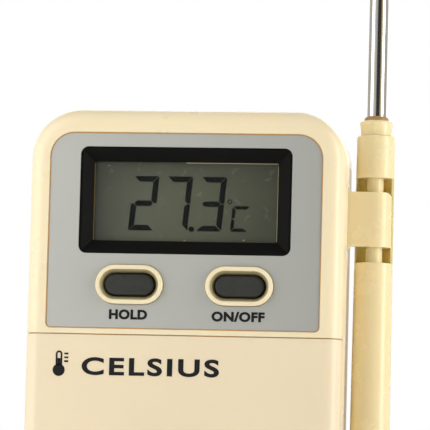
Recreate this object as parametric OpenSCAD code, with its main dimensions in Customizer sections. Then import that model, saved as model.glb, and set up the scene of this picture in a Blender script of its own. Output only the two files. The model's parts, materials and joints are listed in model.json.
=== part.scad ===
// Handheld food thermometer with a stainless penetration probe clipped to its right side.
// The case stands on its flat end: +Z is its long axis, the display faces -Y and +X is to the right.
// The origin is the middle of the case's bottom face.

/* [Case] */
// Width of the case
case_w = 58.4; // [58.4:0.2:60]
// Height of the case
case_h = 106; // [106:0.5:112]
// Depth of the case, front to back
case_d = 19; // [19:0.5:22]
// Radius of the case's corners, seen from the front
corner_r = 9.2; // [9:0.1:11]
// Radius that rounds the front and back edges of the case
edge_r = 3; // [2:0.25:3.5]
// Thickness of the moulded case walls
wall = 1.8; // [1.6:0.1:2]
// Height of the seam between the upper front and the battery cover
seam_z = 64.35; // [64:0.05:65]

/* [Front panel] */
// Width of the grey front panel
panel_w = 50.4; // [50:0.1:52]
// Bottom edge of the front panel
panel_bottom_z = 65.5; // [65.2:0.05:66]
// Top edge of the front panel
panel_top_z = 101.45; // [101:0.05:102]
// Thickness of the front panel
panel_t = 0.4; // [0.3:0.1:0.5]
// Width of the display window
window_w = 39.4; // [38:0.2:40]
// Height of the display window
window_h = 19.8; // [19:0.2:20]
// Height of the middle of the display window
window_z = 89.1; // [88.5:0.1:89.5]

/* [Display] */
// Width of the display that shows inside the bezel
view_w = 34.4; // [33:0.2:35]
// Height of the display that shows inside the bezel
view_h = 14.7; // [14:0.1:15.2]
// Sideways place of the middle of the display
view_x = -0.3; // [-0.4:0.1:0.4]

/* [Buttons] */
// Distance of each button from the point midway between them
button_x = 10.2; // [9.8:0.1:10.6]
// Sideways place of the point midway between the buttons
button_mid_x = 0.25; // [0:0.05:0.4]
// Height of the buttons
button_z = 73.5; // [73:0.05:74]
// Width of a button's key
key_w = 9.2; // [8.8:0.1:9.4]
// Height of a button's key
key_h = 4.0; // [3.6:0.1:4.2]
// Travel of a button
key_travel = 1; // [0.6:0.1:1]

/* [Probe] */
// Sideways place of the probe's axis
probe_x = 33.9; // [33.9:0.1:35]
// Depth of the probe's axis behind the case's parting plane
probe_y = 3.5; // [3.3:0.1:3.8]
// Diameter of the probe handle at its waist, beside the clip
handle_d = 7.15; // [7:0.05:7.2]
// Diameter of the probe handle at its lower end
handle_low_d = 7.7; // [7.2:0.1:8]
// Diameter of the sleeve that the clip holds
core_d = 3.15; // [3:0.05:3.3]
// Diameter of the stainless needle
needle_d = 3.6; // [3.4:0.1:3.8]
// Length of needle that shows above its seal
needle_len = 113.5; // [60:0.5:150]

/* [Hidden] */

$fn = 64;
half_d = case_d / 2;
fit = 0.2;
seam_chamfer = 0.2;
tiny = 0.01;

// Battery cover and the deck that it covers
cover_back = 3;
ledge_front = 2.8;
ledge_t = 1.5;
deck_t = 1.5;
deck_front = half_d - wall - 0.4;
deck_inset = 2.4;
rail_front = 5;
rail_back = 4.2;
rail_low_z = 20;
rail_high_z = 60;
rail_slack = 0.25;
rail_w = 0.95;
rail_slot_w = 1.4;
grip_count = 5;
grip_pitch = 2;
grip_low_z = 9;
grip_w = 18;
grip_h = 0.9;
grip_depth = 0.5;

// Front panel and its recess
panel_gap = 0.2;
panel_top_r = 4.4;
panel_low_r = 0.8;
panel_sink = 0.2;
panel_front = half_d - panel_sink;
recess_floor = panel_front - panel_t;
window_r = 1.5;

// Display stack, each layer by its front face
bezel_front = panel_front - 0.35;
bezel_back = bezel_front - 2.35;
bezel_flange = 1.1;
bezel_lip = 0.4;
lens_t = 0.6;
lens_front = bezel_back - 0.05;
glass_t = 0.75;
front_glass_front = lens_front - lens_t - 0.05;
rear_glass_front = front_glass_front - glass_t - 0.02;
reflector_front = rear_glass_front - glass_t - 0.02;
reflector_t = 0.2;
glass_w = view_w + 2.4;
glass_h = view_h + 3.4;
front_glass_h = view_h + 1.6;
layer_gap = 0.05;
holder_t = 1.4;
zebra_h = 1.1;
zebra_inset = 0.75;
board_front = 2.6;
board_t = 1.6;
board_back = board_front - board_t;
board_w = 50;
board_low_z = 60;
board_high_z = 100;
board_screw_x = 23.3;
board_screw_low_z = 67;
board_screw_high_z = 84;
board_post_d = 3.8;

// Parts on the back of the circuit board
chip_h = 1.4;
chip_gap = 0.1;
leg_w = 1.2;
leg_t = 0.5;
chip_size = [2, 1.2];
controller_spot = [-8, 84];
controller_size = 10;
amplifier_spot = [9, 76];
amplifier_size = 5;
resistor_spot = [-18, 66.6];
resistor_pitch = [3.2, 4];
resistor_t = 0.5;
capacitor_spot = [2, 86.6];
capacitor_pitch = [4, 4.5];
capacitor_t = 0.9;
crystal_spot = [-16.5, 90];
crystal_d = 2.4;
crystal_len = 7;
crystal_lead_d = 0.4;
crystal_lead_len = 2;
trimmer_spot = [12, 69.25];
trimmer_size = 4.5;
trimmer_h = 3.2;
trimmer_slot = [2.4, 0.5, 0.5];

// Buttons
rim_w = 12.5;
rim_h = 7.2;
rim_front = half_d + 0.5;
rim_lip = 0.7;
rim_root = 1.1;
rim_step = 0.7;
rim_bevel = 0.2;
well_h = 4.4;
key_edge_r = 0.5;
flange_w = 1.1;
key_front = half_d - 0.1;
flange_front = half_d - wall - 0.25;
flange_t = 0.8;
stem_d = 3;
stem_back = board_front + key_travel + 0.3;
dome_low_d = 8;
dome_high_d = 4.8;
dome_t = 0.5;
dome_front = flange_front - flange_t - key_travel - 0.2;

// Screws
screw_d = 2;
screw_head_d = 4;
screw_hole_front = 5;
screw_head_t = 1.4;
screw_cross_w = 0.6;
screw_cross_len = 2.4;
screw_cross_depth = 0.8;
board_screw_len = 5;
case_screw_len = 8;
pilot_d = 1.8;
boss_d = 5.4;
boss_front = half_d - wall + 0.2;
boss_joint = -4.4;
screw_spots = [[-22.8, 99.5], [22.8, 99.5], [-21.3, 8.7], [21.3, 8.7]];
counterbore_depth = 2.4;

// Batteries and their tray
cell_d = 10.5;
cell_len = 43.7;
cell_pitch = 11.5;
cell_low_z = 10.4;
cell_axis = 0.5;
nub_d = 3.8;
nub_len = 0.8;
contact_w = 8;
contact_t = 0.4;
spring_low_r = 3.6;
spring_high_r = 2;
spring_turns = 2.5;
spring_wire = 0.6;
spring_gap = 0.45;
tray_wall = 1.2;
tray_in_w = 23.2;
tray_low_z = 6.8;
tray_high_z = 56;
tray_floor = cell_axis - cell_d / 2 - 0.35;

// Lead into the case
lead_x = 15.9;
lead_depth = 3.5;
lead_d = 2.6;
gland_d = 6;
gland_bore_d = 3.2;
grommet_flange = 0.2;
grommet_flange_t = 1.2;
plug_w = 5;
plug_low_z = board_low_z + 1;
plug_high_z = board_low_z + 6.5;
plug_t = 7.5;
lead_low_z = 3.4;

// Label recess on the back
plate_w = 34;
plate_h = 22;
plate_z = 74;
plate_t = 0.3;
plate_r = 1.5;
plate_gap = 0.15;

// Probe handle
cap_low_z = 8;
cap_shoulder = 1.2;
cap_plug_len = 5;
handle_low_z = 14;
pocket_low_z = 79;
pocket_high_z = 94.85;
handle_high_z = 102.75;
handle_chamfer = 0.15;
nose_high_z = 105.75;
seal_high_z = 106.5;
pocket_d = handle_d - 0.8;
pocket_shift = -0.1;
handle_bore_d = 4.4;
bulkhead_t = 4;
nose_d = 6.2;
nose_waist_d = 5.6;
nose_top_d = 4.6;
nose_stub_d = 4.8;
nose_stub_len = 3.4;
core_low_z = 70;
core_high_z = 98.9;
core_bore_d = 2;
needle_low_z = 99.6;
needle_high_z = seal_high_z + needle_len;
tip_len = 8;
tip_plug_len = 3;
tip_r = 0.35;
needle_bore_d = 2.2;
needle_seat_d = needle_d - 0.8;
wire_d = 0.6;
wire_pitch = 0.9;
wire_low_z = 20;
thermistor_d = 1.7;
thermistor_z = needle_high_z - tip_len - tip_plug_len - 2;

// Clip
clip_low_z = 81.95;
clip_high_z = 92.15;
clip_t = 1.3;
clip_out_r = 3.2;
clip_in_r = core_d / 2 + 0.15;
clip_lip_r = 2.85;
clip_lip_len = 0.8;
clip_front_y = probe_y - clip_out_r;
clip_root_r = 1;
clip_corner_r = 1;
clip_overlap = 0.4;

cream = [0.95, 0.88, 0.70];
grey = [0.70, 0.71, 0.69];
black = [0.07, 0.07, 0.07];
steel = [0.80, 0.80, 0.79];

// Stand a drawing up: its x stays, its y becomes the height and its z points to the front
module upright() {
    rotate([90, 0, 0]) children();
}

// The upright axis of the probe
module on_probe() {
    translate([probe_x, probe_y, 0]) children();
}

// Plate standing upright between two heights and two depths, centred on x
module slab(x, w, low_z, high_z, back, front) {
    translate([x - w / 2, -front, low_z]) cube([w, front - back, high_z - low_z]);
}

// Straight run of a wall profile, outward to +x and along -y
module run(len) {
    rotate([90, 0, 0]) linear_extrude(len) children();
}

// Lower or upper pair of corners and the run that joins them, for a profile drawn from the corner's centre
module end_wall(side) {
    mid = case_w / 2 - corner_r;
    for (s = [-1, 1])
        translate([s * mid, 0, 0])
            rotate([0, 0, side > 0 ? (s > 0 ? 0 : 90) : (s > 0 ? -90 : 180)])
                rotate_extrude(angle = 90) children();
    rotate([0, 0, side > 0 ? 90 : -90]) translate([0, mid, 0]) run(2 * mid) children();
}

// Both side runs of a wall profile between two heights
module side_walls(low_z, high_z) {
    mid = case_w / 2 - corner_r;
    translate([mid, high_z, 0]) run(high_z - low_z) children();
    translate([-mid, low_z, 0]) rotate([0, 0, 180]) run(high_z - low_z) children();
}

// Quarter-rounded block profile, from the corner's centre out to width and up to depth
module rounded_block(width, depth, r) {
    square([width - r, depth]);
    square([width, depth - r]);
    translate([width - r, depth - r]) circle(r);
}

// Small bevel on the outer edge of a wall where two mouldings meet
module parting_groove(v) {
    translate([corner_r, v]) rotate([0, 0, 45]) square(seam_chamfer * sqrt(2), center = true);
}

// Profile of a case half: a plate with a rounded edge and a wall
module shell_profile(back) {
    difference() {
        rounded_block(corner_r, half_d, edge_r);
        translate([-tiny, -tiny]) rounded_block(corner_r - wall + tiny, half_d - wall + tiny, edge_r - wall);
        if (back > 0) square([corner_r + tiny, back]);
        parting_groove(back);
    }
}

// Stadium outline, as wide and high as stated
module stadium(w, h) {
    square([w - h, h], center = true);
    for (s = [-1, 1]) translate([s * (w - h) / 2, 0]) circle(d = h);
}

// A profile swept round a stadium whose straight part is len long
module stadium_sweep(len) {
    for (s = [-1, 1]) {
        translate([s * len / 2, 0, 0]) rotate([0, 0, -s * 90]) rotate_extrude(angle = 180) children();
        translate([-s * len / 2, 0, 0]) rotate([0, 0, s * 90]) run(len) children();
    }
}

// Rounded rectangle
module round_rect(w, h, r) {
    square([w - 2 * r, h], center = true);
    square([w, h - 2 * r], center = true);
    for (x = [-1, 1], y = [-1, 1]) translate([x * (w / 2 - r), y * (h / 2 - r)]) circle(r);
}

// Outline of the front panel, grown on every side
module panel_outline(grow) {
    w = panel_w + 2 * grow;
    low = panel_bottom_z - grow;
    high = panel_top_z + grow;
    top_r = panel_top_r + grow;
    low_r = panel_low_r + grow;
    translate([-w / 2, low + low_r]) square([w, high - top_r - low - low_r]);
    translate([-w / 2 + low_r, low]) square([w - 2 * low_r, low_r]);
    translate([-w / 2 + top_r, high - top_r]) square([w - 2 * top_r, top_r]);
    for (s = [-1, 1]) {
        translate([s * (w / 2 - low_r), low + low_r]) circle(low_r);
        translate([s * (w / 2 - top_r), high - top_r]) circle(top_r);
    }
}

// Flat shape standing upright between two depths
module face_plate(back, front) {
    upright() translate([0, 0, back]) linear_extrude(front - back) children();
}

// Cylinder along the depth
module pin(x, z, back, front, d) {
    upright() translate([x, z, back]) cylinder(h = front - back, d = d);
}

module case_screw_holes(back, front, d) {
    for (p = screw_spots) pin(p[0], p[1], back, front, d);
}

// The deck under the battery cover, in profile
module deck_profile() {
    deck_r = corner_r - deck_inset;
    deck_in = deck_r - deck_t;
    ledge_back = ledge_front - ledge_t;
    difference() {
        translate([corner_r - wall, 0]) square([wall, ledge_front]);
        parting_groove(0);
        parting_groove(ledge_front);
    }
    translate([deck_in, ledge_back]) square([corner_r - deck_in - seam_chamfer, ledge_t]);
    translate([deck_in, ledge_back]) square([deck_t, deck_front - ledge_back]);
    translate([0, deck_front - deck_t]) square([deck_r, deck_t]);
}

module upper_front() {
    mid = case_w / 2 - corner_r;
    upright() {
        translate([0, case_h - corner_r, 0]) end_wall(1) shell_profile(0);
        side_walls(seam_z, case_h - corner_r) shell_profile(0);
    }
    slab(0, 2 * mid, seam_z, case_h - corner_r, half_d - wall, half_d);
}

module lower_front() {
    mid = case_w / 2 - corner_r;
    upright() {
        translate([0, corner_r, 0]) end_wall(-1) deck_profile();
        side_walls(corner_r, seam_z) deck_profile();
    }
    slab(0, 2 * mid, corner_r, seam_z, deck_front - deck_t, deck_front);
}

// Wall that closes the upper front above the deck
module seam_wall() {
    inner_w = case_w - 2 * (deck_inset + deck_t);
    back = ledge_front - ledge_t;
    difference() {
        slab(0, case_w - 2 * wall + tiny, seam_z, seam_z + deck_t, back, half_d - wall + tiny);
        slab(0, inner_w, seam_z - 1, seam_z + deck_t + 1, 0, deck_front - deck_t);
    }
}

module battery_tray() {
    out_w = tray_in_w + 2 * tray_wall;
    slab_low = tray_low_z - tray_wall;
    slab_high = tray_high_z + tray_wall;
    difference() {
        slab(0, out_w, slab_low, slab_high, tray_floor - tray_wall, deck_front - tiny);
        slab(0, tray_in_w, tray_low_z, tray_high_z, tray_floor, deck_front + 1);
    }
}

// Raised lip round a button's well, in profile from the centre of its round end
module rim_profile() {
    out_r = rim_h / 2;
    in_r = well_h / 2;
    mouth_r = out_r - rim_lip;
    root = recess_floor - rim_root;
    polygon([[in_r, root], [in_r, root + rim_step], [mouth_r - rim_bevel / 2, rim_front - rim_bevel / 2],
        [mouth_r + rim_bevel / 2, rim_front], [out_r - rim_bevel, rim_front], [out_r, rim_front - rim_bevel],
        [out_r, root]]);
}

// Places its children at both buttons, in a drawing that is standing up
module at_buttons() {
    for (s = [-1, 1]) translate([button_mid_x + s * button_x, button_z, 0]) children();
}

module button_rims() {
    upright() at_buttons() stadium_sweep(rim_w - rim_h) rim_profile();
}

module board_pins(back, front, d) {
    for (s = [-1, 1], z = [board_screw_low_z, board_screw_high_z]) pin(s * board_screw_x, z, back, front, d);
}

module front_bosses() {
    for (p = screw_spots) pin(p[0], p[1], boss_joint, p[1] > seam_z ? boss_front : deck_front - tiny, boss_d);
    board_pins(board_front, half_d - wall + tiny, board_post_d);
}

// Openings through the front: panel recess, window, button wells, battery tray and cover slots
module front_openings() {
    face_plate(recess_floor, half_d + 1) panel_outline(panel_gap);
    face_plate(0, half_d + 1) {
        translate([0, window_z]) square([window_w + 2 * panel_gap, window_h + 2 * panel_gap], center = true);
        at_buttons() stadium(rim_w - 2 * panel_gap, rim_h - 2 * panel_gap);
    }
    slab(0, tray_in_w, tray_low_z, tray_high_z, 0, deck_front + 1);
    for (s = [-1, 1])
        translate([s * (case_w / 2 - deck_inset), 0, 0])
            slab(0, rail_slot_w, corner_r + 1, rail_high_z + 2,
                rail_back - rail_slack, rail_front + rail_slack);
}

module front_shell() {
    color(cream) difference() {
        union() {
            difference() {
                union() {
                    upper_front();
                    lower_front();
                    seam_wall();
                }
                front_openings();
            }
            battery_tray();
            button_rims();
            front_bosses();
        }
        case_screw_holes(boss_joint - 1, screw_hole_front, pilot_d);
        board_pins(board_front - 1, screw_hole_front + 1.5, pilot_d);
    }
}

module rear_shell() {
    mid = case_w / 2 - corner_r;
    color(cream) difference() {
        union() {
            mirror([0, 1, 0]) {
                upright() {
                    translate([0, corner_r, 0]) end_wall(-1) shell_profile(0);
                    translate([0, case_h - corner_r, 0]) end_wall(1) shell_profile(0);
                    side_walls(corner_r, case_h - corner_r) shell_profile(0);
                }
                slab(0, 2 * mid, corner_r, case_h - corner_r, half_d - wall, half_d);
            }
            case_screw_holes(-half_d + tiny, boss_joint - layer_gap, boss_d + 1);
        }
        case_screw_holes(-half_d - 1, boss_joint + 1, screw_d + 0.4);
        case_screw_holes(-half_d - 1, -half_d + counterbore_depth, screw_head_d + 0.6);
        face_plate(-half_d - 1, -half_d + plate_t) plate_outline(plate_gap);
        translate([lead_x, lead_depth, -1]) cylinder(h = wall + 2, d = gland_d);
    }
}

module battery_cover() {
    mid = case_w / 2 - corner_r;
    color(cream) difference() {
        union() {
            upright() {
                translate([0, corner_r, 0]) end_wall(-1) shell_profile(cover_back);
                side_walls(corner_r, seam_z - fit) shell_profile(cover_back);
            }
            slab(0, 2 * mid, corner_r, seam_z - fit, half_d - wall, half_d);
            for (s = [-1, 1])
                translate([s * (case_w / 2 - wall - rail_w / 2 + tiny), 0, 0])
                    slab(0, rail_w, rail_low_z, rail_high_z, rail_back, rail_front);
        }
        for (i = [0:grip_count - 1])
            translate([0, 0, grip_low_z + i * grip_pitch])
                slab(0, grip_w, 0, grip_h, half_d - grip_depth, half_d + 1);
    }
}

// Block between two heights, from a low corner to a high corner seen from above
module post(x1, y1, x2, y2, low_z, high_z) {
    translate([x1, y1, low_z]) cube([x2 - x1, y2 - y1, high_z - low_z]);
}

// Hook that holds the probe's sleeve: a strap that runs forward of it and curls round its right side
module probe_clip() {
    side_x = case_w / 2;
    h = clip_high_z - clip_low_z;
    back_y = clip_front_y + clip_t;
    lip_x = probe_x + clip_lip_r;
    lip_y = probe_y + clip_lip_len;
    root_low_z = clip_low_z - clip_root_r;
    root_high_z = clip_high_z + clip_root_r;
    color(cream) difference() {
        union() {
            post(side_x, clip_front_y, probe_x, back_y, clip_low_z, clip_high_z);
            post(side_x, clip_front_y, side_x + clip_root_r / 2, back_y, root_low_z, root_high_z);
            post(probe_x, probe_y - clip_overlap, lip_x, lip_y, clip_low_z, clip_high_z);
            intersection() {
                translate([probe_x, probe_y, clip_low_z]) cylinder(h = h, r = clip_out_r);
                post(probe_x, clip_front_y, probe_x + clip_out_r, probe_y, clip_low_z, clip_high_z);
            }
        }
        translate([probe_x, probe_y, clip_low_z - 1]) cylinder(h = h + 2, r = clip_in_r);
        post(probe_x - 1, probe_y, probe_x + clip_in_r, lip_y + 1, clip_low_z - 1, clip_high_z + 1);
        for (z = [root_low_z, root_high_z])
            translate([side_x + clip_root_r, clip_front_y - 1, z])
                rotate([-90, 0, 0]) cylinder(h = clip_t + 2, r = clip_root_r - tiny);
        clip_corner();
    }
}

// What rounds off the clip's upper right corner, seen from the front
module clip_corner() {
    reach = 2 * clip_out_r + 2;
    x = probe_x + clip_out_r - clip_corner_r;
    translate([x, clip_front_y - 1, clip_high_z - clip_corner_r]) difference() {
        cube([clip_corner_r + 1, reach - 1, clip_corner_r + 1]);
        translate([0, -1, 0]) rotate([-90, 0, 0]) cylinder(h = reach + 1, r = clip_corner_r);
    }
}

module face_panel() {
    color(grey) face_plate(recess_floor, panel_front) difference() {
        panel_outline(0);
        translate([0, window_z]) round_rect(window_w, window_h, window_r);
        at_buttons() stadium(rim_w + panel_gap, rim_h + panel_gap);
    }
}

module plate_outline(grow) {
    translate([0, plate_z]) round_rect(plate_w + 2 * grow, plate_h + 2 * grow, plate_r + grow);
}

module rating_plate() {
    color([0.80, 0.80, 0.78]) face_plate(-half_d + tiny, -half_d + plate_t) plate_outline(0);
}

// Black frame whose four sides slope in from the window to the display
module display_bezel() {
    color(black) difference() {
        union() {
            face_plate(bezel_back, bezel_front) translate([0, window_z])
                round_rect(window_w - panel_gap, window_h - panel_gap, window_r - panel_gap / 2);
            face_plate(bezel_back, half_d - wall - layer_gap) translate([0, window_z])
                square([window_w + 2 * bezel_flange, window_h + 2 * bezel_flange - bezel_lip], center = true);
        }
        case_screw_holes(bezel_back - 1, bezel_front + 1, boss_d + 0.6);
        hull() {
            face_plate(bezel_front, bezel_front + tiny) translate([0, window_z])
                square([window_w - 1, window_h - 1], center = true);
            face_plate(bezel_back + bezel_lip - tiny, bezel_back + bezel_lip) view_outline(view_w, view_h);
        }
        face_plate(bezel_back - 1, bezel_back + bezel_lip) view_outline(view_w, view_h);
    }
}

// Rectangle centred on the display
module view_outline(w, h) {
    translate([view_x, window_z]) square([w, h], center = true);
}

module display_layer(w, h, front, t) {
    face_plate(front - t, front) view_outline(w, h);
}

module display_lens() {
    color([0.85, 0.88, 0.88, 0.4]) display_layer(glass_w, front_glass_h, lens_front, lens_t);
}

module lcd_front_glass() {
    color([0.42, 0.45, 0.38]) display_layer(glass_w, front_glass_h, front_glass_front, glass_t);
}

module lcd_rear_glass() {
    color([0.38, 0.41, 0.34]) display_layer(glass_w, glass_h, rear_glass_front, glass_t);
}

module lcd_reflector() {
    color([0.72, 0.72, 0.66]) display_layer(view_w + 2, view_h + 0.8, reflector_front, reflector_t);
}

module lcd_holder() {
    color([0.85, 0.85, 0.82]) face_plate(board_front, lens_front) difference() {
        view_outline(glass_w + 2 * holder_t, glass_h + 2 * holder_t);
        view_outline(glass_w + fit, glass_h + fit);
    }
}

module zebra_strips() {
    strip_front = reflector_front - reflector_t - layer_gap;
    color([0.25, 0.22, 0.22]) for (s = [-1, 1])
        translate([0, 0, window_z + s * (glass_h / 2 - zebra_inset)])
            slab(view_x, glass_w - 2, -zebra_h / 2, zebra_h / 2, board_front, strip_front);
}

module circuit_board() {
    color([0.10, 0.35, 0.20]) difference() {
        slab(0, board_w, board_low_z, board_high_z, board_back, board_front);
        case_screw_holes(board_back - 1, board_front + 1, boss_d + 1.2);
        board_pins(board_back - 1, board_front + 1, screw_d + fit);
    }
}

// Flat chip with legs on two sides
module leaded_chip(spot, size, legs) {
    pitch = size / legs;
    translate([spot[0], 0, spot[1]]) {
        slab(0, size, -size / 2, size / 2, board_back - chip_h - chip_gap, board_back - chip_gap);
        for (i = [0:legs - 1], s = [-1, 1])
            translate([s * (size + leg_w - 2 * chip_gap) / 2, 0, pitch * (i + 0.5) - size / 2])
                slab(0, leg_w, -pitch / 5, pitch / 5, board_back - leg_t, board_back);
    }
}

// Rows of small chips, placed by the middle of the first
module chip_rows(spot, pitch, across, up, t) {
    for (i = [0:across - 1], j = [0:up - 1])
        translate([spot[0] + i * pitch[0], 0, spot[1] + j * pitch[1]])
            slab(0, chip_size[0], -chip_size[1] / 2, chip_size[1] / 2, board_back - t, board_back);
}

module controller_chip() {
    color(black) leaded_chip(controller_spot, controller_size, 10);
}

module amplifier_chip() {
    color(black) leaded_chip(amplifier_spot, amplifier_size, 4);
}

module chip_resistors() {
    color([0.15, 0.15, 0.16]) chip_rows(resistor_spot, resistor_pitch, 4, 2, resistor_t);
}

module chip_capacitors() {
    color([0.70, 0.58, 0.42]) chip_rows(capacitor_spot, capacitor_pitch, 3, 2, capacitor_t);
}

module crystal() {
    lead_low = -crystal_lead_len;
    color(steel) translate([crystal_spot[0], crystal_d / 2 + chip_gap - board_back, crystal_spot[1]]) {
        cylinder(h = crystal_len, d = crystal_d);
        for (s = [-0.5, 0.5])
            translate([s, 0, lead_low]) cylinder(h = crystal_lead_len, d = crystal_lead_d);
    }
}

module trimmer() {
    color([0.15, 0.35, 0.70]) translate([trimmer_spot[0], 0, trimmer_spot[1]]) difference() {
        slab(0, trimmer_size, -trimmer_size / 2, trimmer_size / 2, board_back - trimmer_h, board_back);
        slab(0, trimmer_slot[0], -trimmer_slot[1] / 2, trimmer_slot[1] / 2,
            board_back - trimmer_h - 1, board_back - trimmer_h + trimmer_slot[2]);
    }
}

// Screw seen from the back: head with a cross recess, then its shank towards the front
module screw(x, z, head_back, length) {
    cross_front = head_back + screw_cross_depth;
    translate([x, 0, z]) difference() {
        union() {
            pin(0, 0, head_back, head_back + screw_head_t, screw_head_d);
            pin(0, 0, head_back + screw_head_t, head_back + screw_head_t + length, screw_d);
        }
        slab(0, screw_cross_w, -screw_cross_len / 2, screw_cross_len / 2, head_back - 1, cross_front);
        slab(0, screw_cross_len, -screw_cross_w / 2, screw_cross_w / 2, head_back - 1, cross_front);
    }
}

module board_screws() {
    color(steel) for (s = [-1, 1], z = [board_screw_low_z, board_screw_high_z])
        screw(s * board_screw_x, z, board_back - screw_head_t, board_screw_len);
}

module case_screws() {
    color(steel) for (p = screw_spots)
        screw(p[0], p[1], -half_d + counterbore_depth - screw_head_t, case_screw_len);
}

// Rubber key: a stadium with a rounded top, a flange that the case retains, and a stem
module button(x) {
    flange_back = flange_front - flange_t;
    color([0.24, 0.24, 0.22]) upright() translate([x, button_z, 0]) {
        stadium_sweep(key_w - key_h)
            translate([0, flange_front]) rounded_block(key_h / 2, key_front - flange_front, key_edge_r);
        translate([0, 0, flange_back]) linear_extrude(flange_t)
            stadium(key_w + 2 * flange_w, key_h + 2 * flange_w);
        translate([0, 0, stem_back]) cylinder(h = flange_back - stem_back + tiny, d = stem_d);
    }
}

module hold_button() {
    button(button_mid_x - button_x);
}

module power_button() {
    button(button_mid_x + button_x);
}

// Silicone skirt that springs a key back
module dome(x) {
    low_r = dome_low_d / 2;
    high_r = dome_high_d / 2;
    color([0.75, 0.75, 0.75]) upright() translate([x, button_z, 0]) rotate_extrude()
        polygon([[low_r - dome_t, board_front], [low_r, board_front],
            [high_r, dome_front], [high_r - dome_t, dome_front]]);
}

module hold_dome() {
    dome(button_mid_x - button_x);
}

module power_dome() {
    dome(button_mid_x + button_x);
}

module cell(x, flip) {
    translate([x, -cell_axis, cell_low_z + (flip ? cell_len + nub_len : 0)]) mirror([0, 0, flip ? 1 : 0]) {
        color([0.15, 0.22, 0.42]) cylinder(h = cell_len, d = cell_d);
        color(steel) translate([0, 0, cell_len - tiny]) cylinder(h = nub_len + tiny, d = nub_d);
    }
}

module battery_left() {
    cell(-cell_pitch / 2, false);
}

module battery_right() {
    cell(cell_pitch / 2, true);
}

module battery_contact() {
    low_z = cell_low_z + cell_len + nub_len + layer_gap;
    back = cell_axis - contact_w / 2;
    color(steel) slab(0, tray_in_w - 2, low_z, low_z + contact_t, back, back + contact_w);
}

// Point on the skin of a conical coil: t runs from 0 to 1 along it and a turns round the wire
function coil_point(t, a, r_low, r_high, h, turns, wire) =
    let (turn = 360 * turns * t, r = r_low + (r_high - r_low) * t + wire / 2 * cos(a))
    [r * cos(turn), r * sin(turn), h * t + wire / 2 * sin(a)];

module coil(r_low, r_high, h, turns, wire) {
    steps = 48;
    sides = 8;
    points = [for (i = [0:steps], k = [0:sides - 1])
        coil_point(i / steps, 360 * k / sides, r_low, r_high, h, turns, wire)];
    side_faces = [for (i = [0:steps - 1], k = [0:sides - 1])
        [i * sides + k, (i + 1) * sides + k, (i + 1) * sides + (k + 1) % sides, i * sides + (k + 1) % sides]];
    low_face = [for (k = [0:sides - 1]) k];
    high_face = [for (k = [0:sides - 1]) steps * sides + sides - 1 - k];
    polyhedron(points, concat(side_faces, [low_face, high_face]));
}

module battery_springs() {
    spring_h = cell_low_z - tray_low_z - 2 * spring_gap;
    color(steel) for (s = [-1, 1])
        translate([s * cell_pitch / 2, -cell_axis, tray_low_z + spring_gap])
            coil(spring_low_r, spring_high_r, spring_h, spring_turns, spring_wire);
}

module lead_grommet() {
    color(black) translate([lead_x, lead_depth, 0]) difference() {
        union() {
            cylinder(h = wall + 2 * layer_gap, d = gland_d - 2 * layer_gap);
            translate([0, 0, wall + layer_gap])
                cylinder(h = grommet_flange_t, d = gland_d + 2 * grommet_flange);
        }
        translate([0, 0, -1]) cylinder(h = wall + grommet_flange_t + 2, d = gland_bore_d);
    }
}

module lead_plug() {
    color([0.92, 0.92, 0.88]) slab(lead_x, plug_w, plug_low_z, plug_high_z, board_back - plug_t, board_back);
}

module inner_lead() {
    color([0.12, 0.12, 0.12]) translate([lead_x, lead_depth, lead_low_z])
        cylinder(h = plug_low_z - layer_gap - lead_low_z, d = lead_d);
}

module handle_shell() {
    r = handle_d / 2;
    low_r = handle_low_d / 2;
    pocket_h = pocket_high_z - pocket_low_z;
    color(cream) on_probe() difference() {
        rotate_extrude() polygon([[0, handle_low_z], [low_r, handle_low_z], [r, pocket_low_z],
            [r, handle_high_z - handle_chamfer], [r - handle_chamfer, handle_high_z], [0, handle_high_z]]);
        translate([0, 0, handle_low_z - 1])
            cylinder(h = pocket_low_z - bulkhead_t - handle_low_z + 1, d = handle_bore_d);
        translate([0, 0, handle_low_z]) cylinder(h = handle_high_z - handle_low_z + 1, d = core_d);
        translate([0, 0, handle_high_z - nose_stub_len]) cylinder(h = nose_stub_len + 1, d = nose_stub_d);
        translate([pocket_shift, 0, pocket_low_z]) cylinder(h = pocket_h, d = pocket_d);
        translate([-handle_d, -handle_d, pocket_low_z]) cube([2 * handle_d, handle_d, pocket_h]);
    }
}

// Tube or rod on the probe's axis
module probe_tube(low_z, high_z, d, bore) {
    on_probe() difference() {
        translate([0, 0, low_z]) cylinder(h = high_z - low_z, d = d);
        if (bore > 0) translate([0, 0, low_z - 1]) cylinder(h = high_z - low_z + 2, d = bore);
    }
}

module handle_core() {
    color(cream) probe_tube(core_low_z, core_high_z, core_d, core_bore_d);
}

module handle_nose() {
    r = nose_d / 2;
    waist_r = nose_waist_d / 2;
    h = nose_high_z - handle_high_z;
    color(cream) on_probe() difference() {
        union() {
            translate([0, 0, handle_high_z - nose_stub_len + fit / 2])
                cylinder(h = nose_stub_len, d = nose_stub_d);
            translate([0, 0, handle_high_z]) rotate_extrude()
                polygon([[0, 0], [waist_r, 0], [r - 0.1, h * 0.65], [r, h * 0.78],
                    [r - 0.08, h * 0.88], [r - 0.35, h * 0.95], [nose_top_d / 2, h], [0, h]]);
        }
        translate([0, 0, needle_low_z - 1]) cylinder(h = nose_high_z, d = needle_seat_d);
    }
}

// Bead of sealant that climbs from the nose to the needle
module needle_seal() {
    h = seal_high_z - nose_high_z;
    base_r = nose_top_d / 2;
    color([0.73, 0.55, 0.33]) on_probe() translate([0, 0, nose_high_z]) difference() {
        rotate_extrude() polygon([[0, 0], [base_r, 0], [base_r - 0.02, h * 0.3], [base_r - 0.12, h * 0.6],
            [base_r - 0.28, h * 0.85], [base_r - 0.44, h], [0, h]]);
        translate([0, 0, -1]) cylinder(h = h + 2, d = needle_seat_d);
    }
}

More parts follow.
